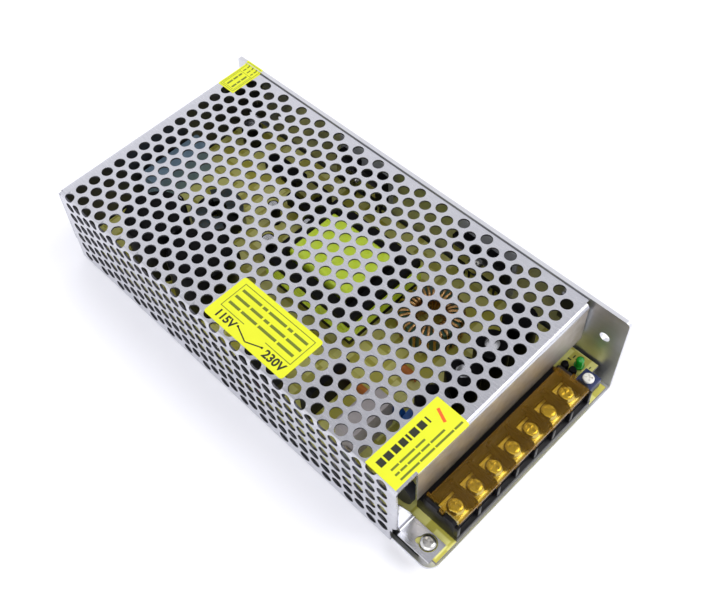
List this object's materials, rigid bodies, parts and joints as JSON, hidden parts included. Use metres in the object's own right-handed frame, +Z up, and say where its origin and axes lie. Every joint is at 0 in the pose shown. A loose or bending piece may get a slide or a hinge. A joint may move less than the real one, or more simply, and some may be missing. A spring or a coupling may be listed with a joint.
{
  "type": "mesh case switching power supply",
  "caption": "Open-deck switching power supply in a perforated metal case, with a barrier terminal block under a hinged lid, a status lamp and an output trimmer.",
  "frame": {"origin": "centre of the bounding box's base, on the face that the unit stands on", "axes": "+Z up from the base plate, +Y along the length with the terminals at -Y, +X across the width with the tall chassis wall at +X"},
  "size_m": [0.099, 0.199, 0.042],
  "materials": {
    "chassis_aluminium": "satin",
    "cover_sheet": "satin",
    "board_laminate": "matt",
    "standoff_steel": "plated",
    "screw_steel": "plated",
    "film_black": "satin",
    "block_plastic": "satin",
    "contact_metal": "tinned",
    "washer_steel": "plated",
    "lid_amber": "translucent",
    "lamp_green": "translucent",
    "trimmer_blue": "satin",
    "rotor_white": "satin",
    "selector_black": "satin",
    "slider_red": "satin",
    "can_sleeve": "sleeved",
    "box_capacitor": "satin",
    "ferrite": "matt",
    "bobbin_plastic": "satin",
    "tape_lime": "film",
    "ring_green": "coated",
    "copper_wire": "enamelled",
    "choke_wire": "enamelled",
    "disc_blue": "coated",
    "thermistor_black": "coated",
    "resistor_brown": "coated",
    "fuse_glass": "clear",
    "clip_metal": "plated",
    "device_black": "matt",
    "pad_grey": "matt",
    "bar_steel": "plated",
    "sticker_yellow": "printed"
  },
  "bodies": {
    "case": {"chassis": "chassis_aluminium", "mesh_cover": "cover_sheet", "pcb": "board_laminate", "pcb_standoffs": "standoff_steel", "pcb_screws": "screw_steel", "cover_screws": "screw_steel", "clamp_screws": "screw_steel", "terminal_screws": "screw_steel", "insulation_sheet": "film_black", "terminal_block": "block_plastic", "terminal_contacts": "contact_metal", "led_leads": "contact_metal", "terminal_washers": "washer_steel", "led_lens": "lamp_green", "trimmer_body": "trimmer_blue", "selector_switch_body": "selector_black", "bulk_capacitor_rear": "can_sleeve", "bulk_capacitor_front": "can_sleeve", "small_capacitors": "can_sleeve", "output_capacitors": "can_sleeve", "film_capacitor": "box_capacitor", "x2_capacitor": "box_capacitor", "transformer_core": "ferrite", "choke_core": "ferrite", "driver_transformer_core": "ferrite", "transformer_bobbin": "bobbin_plastic", "transformer_coil": "tape_lime", "core_tape": "tape_lime", "driver_transformer_coil": "tape_lime", "toroid_core": "ring_green", "toroid_winding": "copper_wire", "choke_windings": "choke_wire", "y_capacitors": "disc_blue", "thermistor": "thermistor_black", "resistors": "resistor_brown", "fuse_tube": "fuse_glass", "fuse_clips": "clip_metal", "bridge_rectifier": "device_black", "control_chip": "device_black", "power_transistors": "device_black", "output_rectifiers": "device_black", "insulating_pads": "pad_grey", "clamp_bars": "bar_steel", "front_sticker": "sticker_yellow", "selector_sticker": "sticker_yellow", "inspection_sticker": "sticker_yellow"},
    "lid": {"terminal_cover": "lid_amber"},
    "rotor": {"trimmer_rotor": "rotor_white"},
    "slider": {"selector_slider": "slider_red"}
  },
  "joints": [
    {"name": "lid_flip", "type": "hinge", "parent": "case", "child": "lid", "pos_m": [-0.003, -0.0869, 0.0209], "axis": [-1, 0, 0], "range_deg": [0, 90]},
    {"name": "trimmer_turn", "type": "hinge", "parent": "case", "child": "rotor", "pos_m": [0.0372, -0.0943, 0.0165], "axis": [0, 0, 1], "range_deg": [-135, 135]},
    {"name": "selector_slide", "type": "slide", "parent": "case", "child": "slider", "axis": [0, 1, 0], "range_m": [0, 0.004]}
  ]
}
